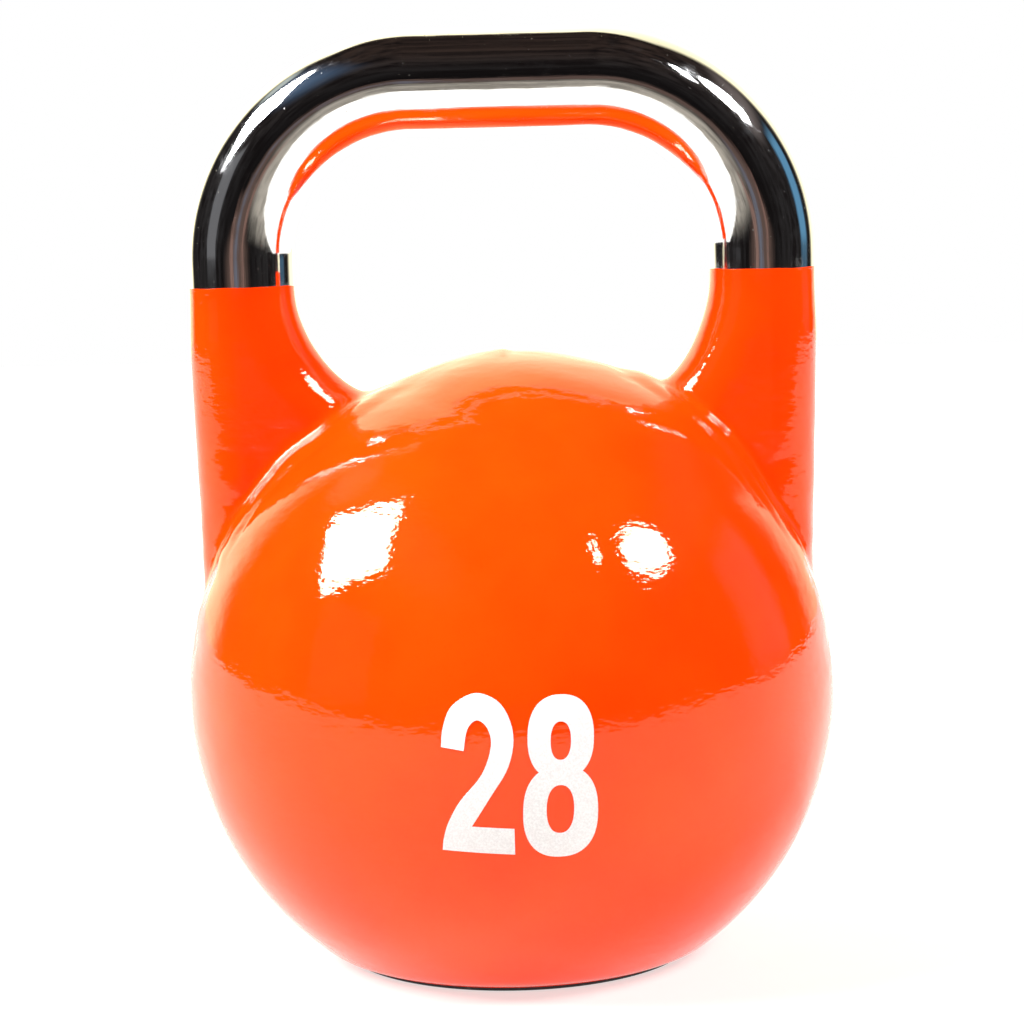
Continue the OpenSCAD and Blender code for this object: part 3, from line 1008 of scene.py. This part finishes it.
KEPT = {
    "left_peg": steel, "right_peg": steel, "backing_ring": steel, "fill_boss": steel,
    "base_plate": orange, "fill_plug": zinc, "plug_seal": fibre, "ballast_shot": shot,
    "felt_wad": felt, "figure_two": white, "figure_eight": white}
for name, mat in KEPT.items():
    slots = nodes[name].material_slots
    for slot in slots:
        slot.material = mat
    print("%s keeps its CAD shape, %d slot" % (name, len(slots)))

# %% [markdown]
# ## The studio
# Chrome and gloss are only as good as what they reflect. The bell stands on a pale floor, a
# hair below the pad so that the two never share a plane, with a bright backdrop behind it.
# Two softboxes hang left and right, and the rest of the room, where the camera is, stays
# dark. That dark room is what gives the chrome its black core and the enamel its depth.
# Camera rays see plain white instead of the room.

# %% Floor
def add_floor(near, far, half, z):
    mesh = bpy.data.meshes.new("sweep")
    mesh.from_pydata([(-half, near, z), (half, near, z), (half, far, z), (-half, far, z)],
                     [], [(0, 1, 2, 3)])
    floor = object_of("sweep", mesh)
    mat, f, shader, where = finish_of("sweep_paper", Roughness=0.9)
    shader.inputs["Specular IOR Level"].default_value = 0.1
    shader.inputs["Emission Color"].default_value = (1.0, 1.0, 0.99, 1)
    shader.inputs["Emission Strength"].default_value = 0.64
    paper = f.noise(where, 40.0, 3.0)
    f.feed(shader.inputs["Base Color"], f.mix(paper, (0.36, 0.35, 0.33, 1),
                                              (0.39, 0.38, 0.36, 1)))
    mesh.materials.append(mat)
    return floor

FLOOR_NEAR, FLOOR_FAR = -0.72, 4.0
floor = add_floor(FLOOR_NEAR, FLOOR_FAR, 4.0, -0.05 * MM)
print("floor from %.2f m to %.2f m" % (FLOOR_NEAR, FLOOR_FAR))

# %% [markdown]
# The room is painted straight onto the world, by direction. A direction is given as a
# heading, in degrees to the right of the camera's side, and a height above the floor. Each
# thing in the room is a rectangle or an oval of light with its own softness.

# %% Things in the room
LAMP = 46.0
BACKDROP = 2.6
WHITE_LAMP = (LAMP, LAMP, LAMP, 1)

# where, size, turn, softness, oval, colour, how much of it
ROOM = [
    ((-66, 53), (52, 16), 8, 0.8, False, (0.13, 0.22, 0.36, 1), 0.6),
    ((-63, 14), (24, 28), 0, 0.1, False, (0.17, 0.17, 0.175, 1), 1.0),
    ((-117, 48), (12, 13), 20, 0.5, True, (0.55, 0.62, 0.58, 1), 1.0),
    ((104, 15), (22, 30), 0, 0.3, False, (0.13, 0.33, 0.52, 1), 1.0),
    ((95, 42), (50, 14), -8, 0.7, False, (0.17, 0.14, 0.13, 1), 1.0),
    ((-4, -1), (44, 7), 0, 0.5, True, (0.13, 0.085, 0.07, 1), 1.0),
    ((-15, -3), (6, 12), 0, 0.4, True, (0.30, 0.18, 0.145, 1), 1.0),
    ((-6, -2), (9, 5), 0, 0.4, True, (0.16, 0.165, 0.20, 1), 1.0),
    ((9, -4), (5, 14), 0, 0.4, True, (0.26, 0.15, 0.12, 1), 1.0),
    ((-80.0, 44), (24.5, 24.5), 45, 0.06, False, WHITE_LAMP, 1.0),
    ((68.0, 43.5), (19, 16), 0, 0.10, True, WHITE_LAMP, 1.0),
    ((45, 50), (2.0, 9), 20, 0.3, False, WHITE_LAMP, 1.0)]

def band(f, value, low, high, soft):
    """1 between low and high, easing to 0 outside."""
    return f.mul(f.ramp(value, low - soft, low + soft),
                 f.ramp(value, high - soft, high + soft, 1.0, 0.0))

def patch(f, way, at, size, turn, soft, oval):
    """1 inside a shape on the room's wall; at and size are in degrees."""
    def along(direction):
        n = f.node("ShaderNodeVectorMath")
        n.operation = "DOT_PRODUCT"
        f.feed(n.inputs[0], way)
        n.inputs[1].default_value = direction
        return n.outputs["Value"]
    h, v = math.radians(at[0]), math.radians(at[1])
    d = np.array([math.cos(v) * math.sin(h), -math.cos(v) * math.cos(h), math.sin(v)])
    side = np.cross(d, (0, 0, 1))
    side /= np.linalg.norm(side)
    up = np.cross(side, d)
    a = math.radians(turn)
    side, up = (side * math.cos(a) + up * math.sin(a),
                up * math.cos(a) - side * math.sin(a))
    ahead = along(d)
    w, t = (math.tan(math.radians(degrees / 2)) for degrees in size)
    across = f.math("DIVIDE", along(side / w), ahead)
    over = f.math("DIVIDE", along(up / t), ahead)
    if oval:
        shape = f.ramp(f.length(across, over), 1 - soft, 1 + soft, 1.0, 0.0)
    else:
        shape = f.mul(band(f, across, -1.0, 1.0, soft), band(f, over, -1.0, 1.0, soft))
    return f.mul(shape, f.math("GREATER_THAN", ahead, 0.0))

# %% [markdown]
# The walls come first: a dark room with a little clutter, darkest in front, where the floor
# fades into it, and the backdrop behind, dimmer on the right and near its top. The things
# are laid over them in order.

# %% The room
def studio_room():
    world = bpy.data.worlds.new("studio_room")
    world.use_nodes = True
    bpy.context.scene.world = world
    tree = world.node_tree
    tree.nodes.clear()
    f = Formula(tree)
    way = tree.nodes.new("ShaderNodeTexCoord").outputs["Generated"]
    x, y, z = f.node("ShaderNodeSeparateXYZ", Vector=way).outputs
    heading = f.mul(f.math("ARCTAN2", x, f.mul(y, -1.0)), 180 / math.pi)
    height = f.mul(f.math("ARCSINE", z), 180 / math.pi)

    light = f.mix(f.ramp(height, 10.0, 75.0), (0.032, 0.030, 0.030, 1),
                  (0.046, 0.030, 0.024, 1))
    clutter = f.noise(way, 9.0, 4.0, 0.7)
    light = f.mix(f.ramp(clutter, 0.35, 0.65), (0.008, 0.006, 0.006, 1), light)
    front = f.mul(band(f, heading, -35.0, 35.0, 25.0), band(f, height, -30.0, 20.0, 25.0))
    light = f.mix(front, light, (0.006, 0.005, 0.005, 1))
    back = f.mul(f.sub(1.0, band(f, heading, -131.0, 137.0, 8.0)),
                 f.ramp(x, -0.2, 0.4, 1.0, 0.6))
    sweep = f.mul(back, f.mul(f.ramp(height, 60.0, 64.0, 1.0, 0.0),
                              f.ramp(height, 25.0, 62.0, 1.0, 0.75)))
    light = f.mix(sweep, light, (BACKDROP, BACKDROP * 0.92, BACKDROP * 0.62, 1))
    ground = f.mul(f.ramp(height, -11.0, -3.0, 1.0, 0.0), f.ramp(clutter, 0.2, 0.6))
    light = f.mix(ground, light, (0.55, 0.50, 0.42, 1))
    for at, size, turn, soft, oval, colour, amount in ROOM:
        light = f.mix(f.mul(patch(f, way, at, size, turn, soft, oval), amount), light,
                      colour)
    seen = tree.nodes.new("ShaderNodeLightPath").outputs["Is Camera Ray"]
    light = f.mix(seen, light, (1.0, 1.0, 1.0, 1))
    glow = f.node("ShaderNodeBackground", Color=light, Strength=1.0)
    out = tree.nodes.new("ShaderNodeOutputWorld")
    tree.links.new(glow.outputs[0], out.inputs[0])
    world.cycles.sampling_method = "MANUAL"
    world.cycles.sample_map_resolution = 1024
    return world

room = studio_room()
print("room: %d nodes" % len(room.node_tree.nodes))
scene = bpy.context.scene
scene.view_settings.view_transform = "Standard"
scene.view_settings.look = "None"
scene.view_settings.exposure = 0.0
